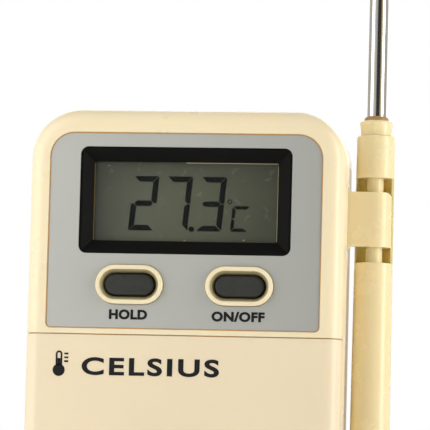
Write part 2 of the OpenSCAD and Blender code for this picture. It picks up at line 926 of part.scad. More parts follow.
// Stainless tube, turned down where it sits in the nose and the seal
module needle_tube() {
    color(steel) {
        probe_tube(seal_high_z, needle_high_z - tip_len, needle_d, needle_bore_d);
        probe_tube(needle_low_z, seal_high_z, needle_seat_d, needle_bore_d);
    }
}

// Ground point with a plug that closes the tube
module needle_tip() {
    r = needle_d / 2;
    base_z = needle_high_z - tip_len;
    color(steel) on_probe() {
        translate([0, 0, base_z - tip_plug_len])
            cylinder(h = tip_plug_len + tiny, d = needle_bore_d - layer_gap);
        translate([0, 0, base_z]) rotate_extrude() polygon([[0, 0], [r, 0], [r * 0.96, tip_len * 0.3],
            [r * 0.78, tip_len * 0.6], [tip_r, tip_len], [0, tip_len]]);
    }
}

module thermistor() {
    color([0.55, 0.20, 0.12]) on_probe() translate([0, 0, thermistor_z]) sphere(d = thermistor_d);
}

module sensor_wires() {
    wire_high_z = thermistor_z - thermistor_d / 2 - 2 * layer_gap;
    color([0.75, 0.20, 0.15]) on_probe() for (s = [-1, 1])
        translate([s * wire_pitch / 2, 0, wire_low_z]) cylinder(h = wire_high_z - wire_low_z, d = wire_d);
}

module handle_end_cap() {
    low_r = handle_low_d / 2;
    h = handle_low_z - cap_low_z - layer_gap;
    color(cream) on_probe() translate([0, 0, cap_low_z]) difference() {
        union() {
            rotate_extrude() polygon([[0, 0], [low_r - cap_shoulder, 0], [low_r - 0.3, cap_shoulder],
                [low_r, 2 * cap_shoulder], [low_r, h], [0, h]]);
            translate([0, 0, h - layer_gap]) cylinder(h = cap_plug_len, d = handle_bore_d - layer_gap);
        }
        translate([0, 0, -1]) cylinder(h = h + cap_plug_len + 2, d = gland_bore_d);
    }
}

front_shell();
rear_shell();
battery_cover();
probe_clip();
face_panel();
rating_plate();
display_bezel();
display_lens();
lcd_front_glass();
lcd_rear_glass();
lcd_reflector();
lcd_holder();
zebra_strips();
circuit_board();
controller_chip();
amplifier_chip();
chip_resistors();
chip_capacitors();
crystal();
trimmer();
board_screws();
case_screws();
hold_button();
power_button();
hold_dome();
power_dome();
battery_left();
battery_right();
battery_contact();
battery_springs();
lead_grommet();
lead_plug();
inner_lead();
handle_shell();
handle_core();
handle_nose();
needle_seal();
needle_tube();
needle_tip();
thermistor();
sensor_wires();
handle_end_cap();
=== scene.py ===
"""Looks of a handheld food thermometer with a clipped penetration probe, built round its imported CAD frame."""
import json
import math

import bmesh
import bpy
from mathutils import Matrix, Vector


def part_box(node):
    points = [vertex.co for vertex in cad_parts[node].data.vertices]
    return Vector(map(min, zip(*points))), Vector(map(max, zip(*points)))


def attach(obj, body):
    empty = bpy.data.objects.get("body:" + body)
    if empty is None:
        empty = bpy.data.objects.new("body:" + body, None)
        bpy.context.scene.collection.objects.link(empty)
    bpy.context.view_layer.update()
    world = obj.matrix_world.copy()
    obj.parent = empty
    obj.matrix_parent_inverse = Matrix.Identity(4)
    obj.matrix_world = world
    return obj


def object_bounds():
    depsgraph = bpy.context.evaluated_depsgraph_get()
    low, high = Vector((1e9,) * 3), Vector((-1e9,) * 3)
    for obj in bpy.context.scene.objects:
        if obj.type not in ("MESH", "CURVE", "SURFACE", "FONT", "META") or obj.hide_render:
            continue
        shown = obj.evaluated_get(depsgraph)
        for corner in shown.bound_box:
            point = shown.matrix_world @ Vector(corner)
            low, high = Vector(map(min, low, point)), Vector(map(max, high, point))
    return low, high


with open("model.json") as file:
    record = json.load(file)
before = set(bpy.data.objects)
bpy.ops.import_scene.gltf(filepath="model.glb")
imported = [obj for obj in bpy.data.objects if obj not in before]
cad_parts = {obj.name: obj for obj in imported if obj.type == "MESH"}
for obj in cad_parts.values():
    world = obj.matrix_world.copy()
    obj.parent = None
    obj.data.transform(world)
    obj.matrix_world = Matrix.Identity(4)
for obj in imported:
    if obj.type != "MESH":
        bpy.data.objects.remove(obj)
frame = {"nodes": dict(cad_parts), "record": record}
NODES = frame["nodes"]
CAD_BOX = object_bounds()
MM = 0.001

# ---------------------------------------------------------------- camera, light and stage

VIEW_DISTANCE = 0.6015
VIEW_YAW = math.radians(7.57)
VIEW_PITCH = math.radians(4.96)
VIEW_ROLL = math.radians(-1.51)
VIEW_TARGET = Vector((5.64, -9.5, 86.54)) * MM
VIEW_LENS = 274.35


def make_camera():
    data = bpy.data.cameras.new("camera")
    data.lens = VIEW_LENS
    data.sensor_width = 36
    data.clip_start = 0.01
    camera = bpy.data.objects.new("camera", data)
    bpy.context.scene.collection.objects.link(camera)
    turn = Matrix.Rotation(VIEW_YAW, 4, "Z") @ Matrix.Rotation(math.pi / 2 + VIEW_PITCH, 4, "X")
    turn = turn @ Matrix.Rotation(-VIEW_ROLL, 4, "Z")
    back = turn.to_3x3() @ Vector((0, 0, 1))
    camera.matrix_world = Matrix.Translation(VIEW_TARGET + back * VIEW_DISTANCE) @ turn
    bpy.context.scene.camera = camera


def area_light(name, at, aim, size, power, colour=(1, 1, 1)):
    data = bpy.data.lights.new(name, "AREA")
    data.shape = "RECTANGLE"
    data.size, data.size_y = size
    data.energy = power
    data.color = colour
    light = bpy.data.objects.new(name, data)
    bpy.context.scene.collection.objects.link(light)
    light.location = at
    light.rotation_euler = (Vector(at) - Vector(aim)).to_track_quat("Z", "Y").to_euler()
    return light


# Studio walls: the light each sends out, and where each begins and ends, in degrees from straight in front
# round to the right. Between two walls the light runs from one to the other.
REAR_WALL = (0.95, 0.93, 0.90)
LEFT_REAR_WALL = (0.85, 0.83, 0.80)
RIGHT_REAR_WALL = (0.80, 0.78, 0.76)
LEFT_PANEL = (1.3, 1.28, 1.15)
DARK_WALL = (0.07, 0.065, 0.06)
RIGHT_PANEL = (1.35, 1.3, 1.1)
STUDIO_WALLS = [
    (-180, REAR_WALL), (-165, LEFT_REAR_WALL), (-88, LEFT_REAR_WALL), (-80, LEFT_PANEL), (-32, LEFT_PANEL),
    (-24, (0.80, 0.82, 0.83)), (-8, (0.75, 0.77, 0.78)), (-3, DARK_WALL), (34, DARK_WALL),
    (42, (0.9, 0.72, 0.42)), (50, (1.2, 1.05, 0.75)), (60, RIGHT_PANEL), (88, RIGHT_PANEL),
    (98, RIGHT_REAR_WALL), (145, RIGHT_REAR_WALL), (165, REAR_WALL), (180, REAR_WALL),
]
STUDIO_CEILING = (0.7, 0.69, 0.68, 1)
STUDIO_STRENGTH = 0.62


def make_world():
    """White backdrop for the camera. All else sees the studio: pale behind, dark in front, bright sides."""
    world = bpy.data.worlds.new("studio")
    bpy.context.scene.world = world
    world.use_nodes = True
    tree = world.node_tree
    tree.nodes.clear()
    link = tree.links.new
    out = tree.nodes.new("ShaderNodeOutputWorld")
    choose = tree.nodes.new("ShaderNodeMixShader")
    path = tree.nodes.new("ShaderNodeLightPath")
    seen = tree.nodes.new("ShaderNodeBackground")
    lit = tree.nodes.new("ShaderNodeBackground")
    seen.inputs["Color"].default_value = (1, 1, 1, 1)
    split = tree.nodes.new("ShaderNodeSeparateXYZ")
    link(tree.nodes.new("ShaderNodeTexCoord").outputs["Generated"], split.inputs["Vector"])
    back = tree.nodes.new("ShaderNodeMath")
    back.operation = "MULTIPLY"
    back.inputs[1].default_value = -1
    link(split.outputs["Y"], back.inputs[0])
    turn = tree.nodes.new("ShaderNodeMath")
    turn.operation = "ARCTAN2"
    link(split.outputs["X"], turn.inputs[0])
    link(back.outputs[0], turn.inputs[1])
    around = tree.nodes.new("ShaderNodeMapRange")
    around.inputs["From Min"].default_value = -math.pi
    around.inputs["From Max"].default_value = math.pi
    link(turn.outputs[0], around.inputs["Value"])
    walls = tree.nodes.new("ShaderNodeValToRGB")
    while len(walls.color_ramp.elements) < len(STUDIO_WALLS):
        walls.color_ramp.elements.new(0.5)
    for element, (degrees, colour) in zip(walls.color_ramp.elements, STUDIO_WALLS):
        element.position = 0.5 + degrees / 360
        element.color = colour + (1,)
    link(around.outputs["Result"], walls.inputs["Fac"])
    height = tree.nodes.new("ShaderNodeMapRange")
    height.inputs["From Min"].default_value = 0.45
    height.inputs["From Max"].default_value = 0.8
    link(split.outputs["Z"], height.inputs["Value"])
    ceiling = tree.nodes.new("ShaderNodeMix")
    ceiling.data_type = "RGBA"
    ceiling.inputs[7].default_value = STUDIO_CEILING
    link(height.outputs["Result"], ceiling.inputs[0])
    link(walls.outputs["Color"], ceiling.inputs[6])
    link(ceiling.outputs[2], lit.inputs["Color"])
    lit.inputs["Strength"].default_value = STUDIO_STRENGTH
    link(path.outputs["Is Camera Ray"], choose.inputs["Fac"])
    link(lit.outputs["Background"], choose.inputs[1])
    link(seen.outputs["Background"], choose.inputs[2])
    link(choose.outputs["Shader"], out.inputs["Surface"])


def make_lights():
    """Tall softboxes at both sides, the left one nearer, a weak one high in front and one behind."""
    aim = (0, 0, 0.09)
    area_light("left_box", (-0.21, -0.13, 0.15), aim, (0.16, 0.40), 0.48, (1, 0.985, 0.96))
    area_light("right_box", (0.46, -0.12, 0.15), aim, (0.18, 0.50), 1.6, (1, 0.98, 0.94))
    area_light("front_box", (0.02, -0.62, 0.62), aim, (0.40, 0.30), 0.05)
    area_light("rear_box", (0.0, 0.60, 0.35), aim, (0.60, 0.40), 1.0)


# ---------------------------------------------------------------- colours and materials


def linear(r, g, b):
    """Colour as seen on a screen, 0 to 255, as linear light."""
    def one(c):
        c /= 255
        return c / 12.92 if c <= 0.04045 else ((c + 0.055) / 1.055) ** 2.4
    return (one(r), one(g), one(b), 1)


class Shader:
    """A principled material and short ways to add detail to it."""

    def __init__(self, name, rough, metal=0.0, coat=0.0, ior=1.46):
        self.material = bpy.data.materials.new(name)
        self.material.use_nodes = True
        self.tree = self.material.node_tree
        self.nodes = self.tree.nodes
        self.bsdf = self.nodes["Principled BSDF"]
        self.bsdf.inputs["Roughness"].default_value = rough
        self.bsdf.inputs["Metallic"].default_value = metal
        self.bsdf.inputs["Coat Weight"].default_value = coat
        self.bsdf.inputs["IOR"].default_value = ior
        self.place = self.nodes.new("ShaderNodeTexCoord").outputs["Object"]
        self.normal = None

    def soft_edges(self, radius):
        """Round off sharp edges, as a mould does."""
        node = self.nodes.new("ShaderNodeBevel")
        node.samples = 4
        node.inputs["Radius"].default_value = radius
        self.normal = node.outputs["Normal"]

    def link(self, a, b):
        self.tree.links.new(a, b)

    def stretched(self, scale):
        mapping = self.nodes.new("ShaderNodeMapping")
        mapping.inputs["Scale"].default_value = scale
        self.link(self.place, mapping.inputs["Vector"])
        return mapping.outputs["Vector"]

    def noise(self, size, detail=3, rough=0.55, at=None):
        """Noise whose spots are about size metres."""
        tex = self.nodes.new("ShaderNodeTexNoise")
        tex.inputs["Scale"].default_value = 1 / size
        tex.inputs["Detail"].default_value = detail
        tex.inputs["Roughness"].default_value = rough
        self.link(at or self.place, tex.inputs["Vector"])
        return tex.outputs["Fac"]

    def span(self, value, low, high, from_low=0.3, from_high=0.7):
        node = self.nodes.new("ShaderNodeMapRange")
        node.inputs["From Min"].default_value = from_low
        node.inputs["From Max"].default_value = from_high
        node.inputs["To Min"].default_value = low
        node.inputs["To Max"].default_value = high
        self.link(value, node.inputs["Value"])
        return node.outputs["Result"]

    def ramp(self, value, stops):
        node = self.nodes.new("ShaderNodeValToRGB")
        while len(node.color_ramp.elements) < len(stops):
            node.color_ramp.elements.new(0.5)
        for element, (at, colour) in zip(node.color_ramp.elements, stops):
            element.position = at
            element.color = colour
        self.link(value, node.inputs["Fac"])
        return node.outputs["Color"]

    def mix(self, factor, a, b):
        node = self.nodes.new("ShaderNodeMix")
        node.data_type = "RGBA"
        self.link(factor, node.inputs[0])
        for socket, colour in ((node.inputs[6], a), (node.inputs[7], b)):
            if isinstance(colour, tuple):
                socket.default_value = colour
            else:
                self.link(colour, socket)
        return node.outputs[2]

    def colour(self, value):
        self.link(value, self.bsdf.inputs["Base Color"])

    def roughness(self, value):
        self.link(value, self.bsdf.inputs["Roughness"])

    def bump(self, height, distance, strength=1.0):
        node = self.nodes.new("ShaderNodeBump")
        node.inputs["Distance"].default_value = distance
        node.inputs["Strength"].default_value = strength
        self.link(height, node.inputs["Height"])
        if self.normal:
            self.link(self.normal, node.inputs["Normal"])
        self.normal = node.outputs["Normal"]
        self.link(self.normal, self.bsdf.inputs["Normal"])


def shade(colour, factor):
    return tuple(min(1, c * factor) for c in colour[:3]) + (1,)


def moulded(name, colour, rough, grain=0.00018, depth=0.000004, soft=0.0, scatter=0.0016, edge=0.00012,
            gloss=0.5, painted_fade=None):
    """Moulded plastic: slow drift of tone, fine spark-eroded grain, softened edges and faint handling marks.

    soft is the share of light that enters the plastic, and scatter how far it spreads there, in metres.
    edge is the radius of the softened edges in metres, and gloss the strength of the mirror-like reflection.
    The last argument is an axis, its start and end in metres, and the share of the colour left at the end:
    painted shade that darkens the colour along that axis.
    """
    s = Shader(name, rough)
    s.bsdf.inputs["Specular IOR Level"].default_value = gloss
    drift = s.noise(0.03, 2)
    speck = s.noise(0.0006, 4, 0.7)
    tone = s.mix(s.span(drift, 0, 1), shade(colour, 0.98), shade(colour, 1.015))
    # Painted shade: the colour darkens along the given axis.
    if painted_fade:
        axis, start, end, share = painted_fade
        split = s.nodes.new("ShaderNodeSeparateXYZ")
        s.link(s.place, split.inputs["Vector"])
        tone = s.mix(s.span(split.outputs[axis], 0, 1, start, end), tone, shade(colour, share))
    s.colour(s.mix(s.span(speck, 0, 0.25, 0.62, 0.8), tone, shade(colour, 0.94)))
    scuff = s.noise(0.008, 5, 0.65)
    s.roughness(s.span(scuff, rough - 0.05, rough + 0.07))
    s.soft_edges(edge)
    s.bump(s.noise(grain, 2), depth)
    s.bump(s.noise(0.006, 2), 0.000012)
    if soft:
        s.bsdf.inputs["Subsurface Weight"].default_value = soft
        s.bsdf.inputs["Subsurface Radius"].default_value = (1.0, 0.68, 0.3)
        s.bsdf.inputs["Subsurface Scale"].default_value = scatter
    return s.material


def metal(name, colour, rough, along=(1, 1, 1), line=0.0002, depth=0.000002):
    """Drawn or plated metal with fine lines across the stretched axis."""
    s = Shader(name, rough, metal=1.0)
    lines = s.noise(line, 3, 0.6, s.stretched(along))
    cloud = s.noise(0.004, 3)
    s.colour(s.mix(s.span(cloud, 0, 1), shade(colour, 0.93), colour))
    s.roughness(s.span(lines, max(0.03, rough - 0.05), rough + 0.08))
    s.bump(lines, depth)
    return s.material


def rubber(name, colour, rough=0.6):
    s = Shader(name, rough)
    dust = s.noise(0.0012, 5, 0.7)
    s.colour(s.mix(s.span(dust, 0, 1, 0.45, 0.8), colour, shade(colour, 1.5)))
    s.roughness(s.span(s.noise(0.003, 3), rough - 0.08, rough + 0.1))
    s.bump(s.noise(0.00015, 3), 0.000008)
    return s.material


def clear(name, colour, rough=0.03):
    """Thin clear window: what shows of it is its gloss and a trace of haze."""
    s = Shader(name, rough, coat=1.0)
    s.bsdf.inputs["Alpha"].default_value = 0.04
    s.colour(s.mix(s.span(s.noise(0.0009, 4), 0, 1, 0.55, 0.8), colour, shade(colour, 1.5)))
    s.roughness(s.span(s.noise(0.02, 2), rough, rough + 0.02))
    return s.material


def display_face(name):
    """Reflective display behind a polarising film: olive grey with fine mottling, a painted sheen brighter left
    of centre and painted shade darker towards the top.
    """
    s = Shader(name, 0.22)
    low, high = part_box("lcd_front_glass")
    split = s.nodes.new("ShaderNodeSeparateXYZ")
    s.link(s.place, split.inputs["Vector"])
    across = s.span(split.outputs["X"], 0, 1, low.x, high.x)
    up = s.span(split.outputs["Z"], 0, 1, low.z, high.z)
    # Painted sheen: brighter left of centre, darker towards both sides.
    olive_with_painted_sheen = s.ramp(across, [(0.04, linear(78, 81, 71)), (0.3, linear(92, 96, 80)), (0.6, linear(88, 91, 75)),
                           (1.0, linear(76, 78, 64))])
    # Painted shade: darker towards the top of the display.
    top = s.mix(s.span(up, 0, 0.6, 0.6, 1.0), olive_with_painted_sheen, linear(70, 73, 62))
    mottle = s.noise(0.0008, 3)
    s.colour(s.mix(s.span(mottle, 0, 0.06), top, linear(98, 101, 86)))
    s.roughness(s.span(s.noise(0.002, 4), 0.24, 0.28))
    return s.material


def printed(name, colour, rough=0.5, alpha=1.0):
    """Screen-printed ink, a little uneven."""
    s = Shader(name, rough)
    s.bsdf.inputs["Alpha"].default_value = alpha
    s.bsdf.inputs["Specular IOR Level"].default_value = 0.2
    patch = s.noise(0.0007, 4, 0.6)
    s.colour(s.mix(s.span(patch, 0, 1), colour, shade(colour, 1.4)))
    s.bump(s.noise(0.00012, 2), 0.000004)
    return s.material


CREAM = linear(240, 225, 191)
COVER = linear(233, 218, 189)
PANEL = linear(180, 182, 178)
PANEL_X = [corner.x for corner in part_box("face_panel")]
# Painted shade on the panel: darker towards its right side, as if lit from the left.
PANEL_PAINTED_SHADE = ("X", *PANEL_X, 0.8)

FINISH = {
    "case_cream": moulded("case_cream", CREAM, 0.3, soft=0.2),
    "cover_cream": moulded("cover_cream", COVER, 0.33, soft=0.2),
    "handle_cream": moulded("handle_cream", linear(238, 221, 177), 0.25, soft=0.5, scatter=0.0016),
    "panel_grey": moulded("panel_grey", PANEL, 0.42, grain=0.00012, depth=0.000006, painted_fade=PANEL_PAINTED_SHADE),
    "plate_silver": metal("plate_silver", linear(190, 190, 188), 0.35, along=(0.05, 1, 1)),
    "bezel_black": moulded("bezel_black", linear(19, 19, 18), 0.55, gloss=0.06),
    "lens_clear": clear("lens_clear", (0.05, 0.052, 0.048, 1)),
    "lcd_glass": display_face("lcd_glass"),
    "lcd_inner": moulded("lcd_inner", linear(120, 124, 110), 0.2),
    "reflector_foil": metal("reflector_foil", linear(180, 180, 168), 0.5),
    "holder_white": moulded("holder_white", linear(226, 226, 222), 0.5),
    "zebra_rubber": rubber("zebra_rubber", linear(62, 58, 58)),
    "board_green": moulded("board_green", linear(30, 96, 58), 0.35),
    "chip_black": moulded("chip_black", linear(34, 34, 36), 0.5),
    "resistor_black": moulded("resistor_black", linear(38, 38, 40), 0.4),
    "capacitor_tan": moulded("capacitor_tan", linear(178, 148, 108), 0.5),
    "crystal_can": metal("crystal_can", linear(210, 210, 206), 0.25),
    "trimmer_blue": moulded("trimmer_blue", linear(38, 88, 170), 0.35),
    "screw_steel": metal("screw_steel", linear(200, 200, 196), 0.3),
    "key_rubber": rubber("key_rubber", linear(40, 41, 38), 0.5),
    "dome_silicone": rubber("dome_silicone", linear(190, 190, 190)),
    "cell_jacket": moulded("cell_jacket", linear(40, 58, 106), 0.25),
    "contact_nickel": metal("contact_nickel", linear(216, 212, 200), 0.25),
    "grommet_rubber": rubber("grommet_rubber", linear(36, 36, 36)),
    "plug_white": moulded("plug_white", linear(232, 230, 220), 0.45),
    "lead_black": rubber("lead_black", linear(34, 34, 34)),
    "seal_tan": moulded("seal_tan", linear(168, 130, 82), 0.3),
    "needle_steel": metal("needle_steel", linear(222, 219, 214), 0.1, along=(1, 1, 0.02)),
    "sensor_red": moulded("sensor_red", linear(140, 60, 30), 0.3),
    "wire_red": moulded("wire_red", linear(180, 50, 40), 0.35),
}
INK = printed("ink", linear(24, 24, 26))
SEGMENT = printed("segment", linear(5, 9, 9), 0.9)
# Painted shadow of the segments on the reflector behind them.
SEGMENT_PAINTED_SHADOW = printed("segment_painted_shadow", linear(44, 48, 42), 0.5, alpha=0.25)
DUST = printed("dust", linear(160, 158, 132), 0.7, alpha=0.7)
# Painted highlight where light catches the cut edges of the lens.
ACRYLIC_PAINTED_GLINT = moulded("acrylic_painted_glint", linear(196, 188, 148), 0.2, edge=0.00001)
# Painted shade with a golden glow, for the sheets set in the gaps round the panel and at the seam.
GAP_PAINTED_SHADE_AND_GLOW = moulded("groove", linear(204, 152, 84), 0.4, edge=0.00001)
# Painted shade on the slopes of the key wells: olive, darker towards the foot of the slope.
WELL_PAINTED_SHADE = moulded("well", linear(176, 164, 124), 0.35, edge=0.00001, painted_fade=("Y", -0.0099, -0.0086, 0.5))
# Painted dim highlight on the left cut edge of the lens.
ACRYLIC_PAINTED_DIM_GLINT = moulded("acrylic_painted_dim_glint", linear(128, 108, 62), 0.3, edge=0.00001)


def dress_frame():
    """Give every CAD node the material of its slot."""
    for part in frame["record"]["subparts"]:
        obj = NODES[part["node"]]
        obj.data.materials.clear()
        obj.data.materials.append(FINISH[part["material_slot"]])


# ---------------------------------------------------------------- printed and displayed pieces

# Thickness of the printed labels, in metres
PRINT_THICK = 0.00003


def add_mesh(name, mesh, material, body):
    obj = bpy.data.objects.new(name, mesh)
    bpy.context.scene.collection.objects.link(obj)
    mesh.materials.clear()
    mesh.materials.append(material)
    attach(obj, body)
    return obj


def flat_prints(name, outlines, y, thick, material, body):
    """Thin raised shapes on a face that looks to -Y. Outlines are lists of x, z points in millimetres."""
    bm = bmesh.new()
    for outline in outlines:
        low = [bm.verts.new((x * MM, y, z * MM)) for x, z in outline]
        high = [bm.verts.new((x * MM, y - thick, z * MM)) for x, z in outline]
        bm.faces.new(high)
        bm.faces.new(low[::-1])
        for i in range(len(low)):
            j = (i + 1) % len(low)
            bm.faces.new((low[i], low[j], high[j], high[i]))
    bmesh.ops.recalc_face_normals(bm, faces=bm.faces)
    mesh = bpy.data.meshes.new(name)
    bm.to_mesh(mesh)
    bm.free()
    return add_mesh(name, mesh, material, body)


def lettering(name, text, cap, width, x, z, y, weight, body, spread=1.0):
    """Printed capitals, cap millimetres high and width millimetres wide, with x, z at their middle."""
    curve = bpy.data.curves.new(name, "FONT")
    curve.body = text
    curve.size = 1.0
    curve.offset = weight
    curve.space_character = spread
    curve.extrude = 0.005
    curve.resolution_u = 6
    maker = bpy.data.objects.new(name + "_outline", curve)
    bpy.context.scene.collection.objects.link(maker)
    bpy.context.view_layer.update()
    mesh = bpy.data.meshes.new_from_object(maker.evaluated_get(bpy.context.evaluated_depsgraph_get()))
    bpy.data.objects.remove(maker)
    points = [v.co.copy() for v in mesh.vertices]
    low = Vector(min(p[i] for p in points) for i in range(3))
    high = Vector(max(p[i] for p in points) for i in range(3))
    size, mid = high - low, (high + low) / 2
    for v, p in zip(mesh.vertices, points):
        v.co = (
            (x + (p.x - mid.x) / size.x * width) * MM,
            y - (p.z - low.z) / size.z * PRINT_THICK,
            (z + (p.y - mid.y) / size.y * cap) * MM,
        )
    return add_mesh(name, mesh, INK, body)


def bar(x1, z1, x2, z2):
    return [(x1, z1), (x2, z1), (x2, z2), (x1, z2)]


def arc_band(x, z, r_in, r_out, start, end, count=24):
    """Outline of part of a ring, between two angles in degrees."""
    angles = [math.radians(start + (end - start) * i / count) for i in range(count + 1)]
    outer = [(x + r_out * math.cos(a), z + r_out * math.sin(a)) for a in angles]
    inner = [(x + r_in * math.cos(a), z + r_in * math.sin(a)) for a in reversed(angles)]
    return outer + inner


def thermometer_icon(x, low_z, height):
    """Outlines of a small plain thermometer: bulb, glass, column and three marks."""
    bulb = height * 0.24
    glass = height * 0.13
    line = height * 0.07
    top = low_z + height - glass
    neck = low_z + bulb * 1.8
    shapes = [disc(x, low_z + bulb, bulb), bar(x - line * 0.8, neck, x + line * 0.8, low_z + height * 0.7)]
    shapes.append(bar(x - glass, neck, x - glass + line, top))
    shapes.append(bar(x + glass - line, neck, x + glass, top))
    shapes.append(arc_band(x, top, glass - line, glass, 0, 180))
    for i in range(3):
        z = low_z + height * (0.55 + 0.15 * i)
        shapes.append(bar(x + glass * 1.6, z, x + glass * 1.6 + height * 0.16, z + line))
    return shapes


def make_prints():
    panel_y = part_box("face_panel")[0].y
    cover_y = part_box("battery_cover")[0].y
    lettering("label_hold", "HOLD", 1.85, 7.1, -10.02, 67.97, panel_y, 0.05, "case", spread=1.08)
    lettering("label_on_off", "ON/OFF", 1.85, 9.8, 10.36, 67.9, panel_y, 0.05, "case", spread=1.08)
    lettering("label_unit", "CELSIUS", 3.3, 25.5, -5.6, 58.35, cover_y, 0.03, "cover", spread=1.2)
    icon = thermometer_icon(-22.6, 56.4, 4.7)
    flat_prints("label_icon", icon, cover_y, PRINT_THICK, INK, "cover")


# Seven-segment digits: width, height, stroke and the gap between segments
DIGIT_W = 4.7
DIGIT_H = 10.05
STROKE = 0.98
GAP = 0.13
SLANT = math.tan(math.radians(5.2))
SHAPES = {"2": "abged", "7": "abc", "3": "abgcd", "C": "adef"}


def segments(w, h, t, g):
    """Outlines of the seven segments of a digit whose low left corner is at 0, 0.

    w, h and t are its width, height and stroke, and g is the gap between segments.
    """
    def turn(points):
        return [(w - x, z) for x, z in points]

    def drop(points):
        return [(x, h - z) for x, z in points]

    half = h / 2
    top = [(g, h), (w - g, h), (w - t - g, h - t), (t + g, h - t)]
    right = [
        (w, h - g), (w, half + g), (w - t / 2, half + g * 0.6),
        (w - t, half + t / 2 + g * 0.4), (w - t, h - t - g),
    ]
    middle = [
        (t * 0.5 + g, half), (t + g, half + t / 2), (w - t - g, half + t / 2), (w - t * 0.5 - g, half),
        (w - t - g, half - t / 2), (t + g, half - t / 2),
    ]
    return {
        "a": top, "b": right, "c": drop(right), "d": drop(top),
        "e": turn(drop(right)), "f": turn(right), "g": middle,
    }


def glyph(shape, x, z, w, h, t):
    """The lit segments of one shape, slanted, with their low left corner at x, z."""
    made = segments(w, h, t, GAP)
    return [[(x + px + pz * SLANT, z + pz) for px, pz in made[s]] for s in SHAPES[shape]]


def disc(x, z, r, count=24):
    angles = [2 * math.pi * i / count for i in range(count)]
    return [(x + r * math.cos(a), z + r * math.sin(a)) for a in angles]


# Foot of the digits, each digit with its left side, then the decimal point, the unit and the degree ring
DIGITS_LOW_Z = 83.85
DIGITS = [("2", -11.05), ("7", -4.75), ("3", 1.6)]
POINT_X = 0.8
POINT_RISE = 0.32
POINT_R = 0.5
UNIT_X = 8.0
UNIT_W = 3.2
UNIT_H = 4.7
UNIT_STROKE = 0.56
DEGREE_SPOT = (7.83, 89.35)
DEGREE_RADII = (0.28, 0.43)
# Shift of the painted shadow of the segments, in millimetres
SHADOW_SHIFT = (0.1, -0.08)
# How far the bezel covers the lens at its sides and ends, and where dust lies on it, as shares and a radius
GLASS_OVERLAP = (1.2, 0.8)
DUST_SPOTS = [
    (0.37, 0.06, 0.09), (0.5, 0.015, 0.12), (0.82, 0.03, 0.11), (0.87, 0.52, 0.07), (0.08, 0.95, 0.1),
    (0.66, 0.3, 0.05), (0.2, 0.4, 0.05), (0.93, 0.8, 0.06),
]


def make_reading():
    """The lit segments on the display, and their painted shadow: a faint offset copy on the reflector behind.
    """
    face_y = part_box("lcd_front_glass")[0].y
    outlines = []
    for shape, x in DIGITS:
        outlines += glyph(shape, x, DIGITS_LOW_Z, DIGIT_W, DIGIT_H, STROKE)
    outlines += glyph("C", UNIT_X, DIGITS_LOW_Z, UNIT_W, UNIT_H, UNIT_STROKE)
    outlines.append(disc(POINT_X, DIGITS_LOW_Z + POINT_RISE, POINT_R))
    for start in (0, 180):
        outlines.append(arc_band(*DEGREE_SPOT, *DEGREE_RADII, start, start + 178))
    flat_prints("reading", outlines, face_y - 0.00002, 0.00002, SEGMENT, "case")
    # Painted shadow: a faint copy of the segments, shifted a little.
    painted_shadow_outlines = [[(x + SHADOW_SHIFT[0], z + SHADOW_SHIFT[1]) for x, z in outline] for outline in outlines]
    flat_prints("reading_painted_shadow", painted_shadow_outlines, face_y, 0.00001, SEGMENT_PAINTED_SHADOW, "case")


def make_lens_details():
    """Painted glints on the cut edges of the lens against the bezel, bright along the top and right and dim at
    the left, and a few specks of dust on it.
    """
    low, high = (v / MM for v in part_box("display_lens"))
    face_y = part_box("display_lens")[0].y
    left, right = low.x + GLASS_OVERLAP[0], high.x - GLASS_OVERLAP[0]
    bottom, top = low.z + GLASS_OVERLAP[1], high.z - GLASS_OVERLAP[1]
    middle = (left + right) / 2
    # Painted highlights where light catches the lens edge: bright at the top and right.
    bright = [
        bar(middle, top - 0.14, right - 0.1, top - 0.02),
        bar(right - 0.12, bottom + 0.3, right - 0.02, top - 0.5),
    ]
    # Painted dim highlight along the left cut edge.
    dull = [bar(left + 0.04, bottom + 0.1, left + 0.2, top - 0.3)]
    flat_prints("lens_painted_glint", bright, face_y, 0.00002, ACRYLIC_PAINTED_GLINT, "case")
    flat_prints("lens_painted_dim_glint", dull, face_y, 0.00002, ACRYLIC_PAINTED_DIM_GLINT, "case")
    specks = []
    for i, (u, v, r) in enumerate(DUST_SPOTS):
        x, z = left + u * (right - left), bottom + v * (top - bottom)
        specks.append([(x + px * (1 + 0.4 * (i % 3)), z + pz) for px, pz in disc(0, 0, r, 7)])
    flat_prints("lens_dust", specks, face_y, 0.00001, DUST, "case")


def sweep(name, sections, material, body, closed):
    """Solid through a row of equal sections, each a loop of x, y, z points in millimetres."""
    bm = bmesh.new()
    rows = [[bm.verts.new([v * MM for v in point]) for point in section] for section in sections]
    count = len(rows[0])
    for i in range(len(rows) if closed else len(rows) - 1):
        a, b = rows[i], rows[(i + 1) % len(rows)]
        for j in range(count):
            k = (j + 1) % count
            bm.faces.new((a[j], a[k], b[k], b[j]))
    if not closed:
        bm.faces.new(rows[0][::-1])
        bm.faces.new(rows[-1])
    bmesh.ops.recalc_face_normals(bm, faces=bm.faces)
    mesh = bpy.data.meshes.new(name)
    bm.to_mesh(mesh)
    bm.free()
    return add_mesh(name, mesh, material, body)


def rounded_loop(low, high, low_r, top_r, grow=0.0, count=8):
    """Rounded rectangle between two corners, with its own radius at the foot and at the head."""
    corners = [
        (high.x - top_r, high.z - top_r, top_r, 0), (low.x + top_r, high.z - top_r, top_r, 90),
        (low.x + low_r, low.z + low_r, low_r, 180), (high.x - low_r, low.z + low_r, low_r, 270),
    ]
    points = []
    for x, z, r, start in corners:
        for i in range(count + 1):
            a = math.radians(start + 90 * i / count)
            points.append((x + (r + grow) * math.cos(a), z + (r + grow) * math.sin(a)))
    return points


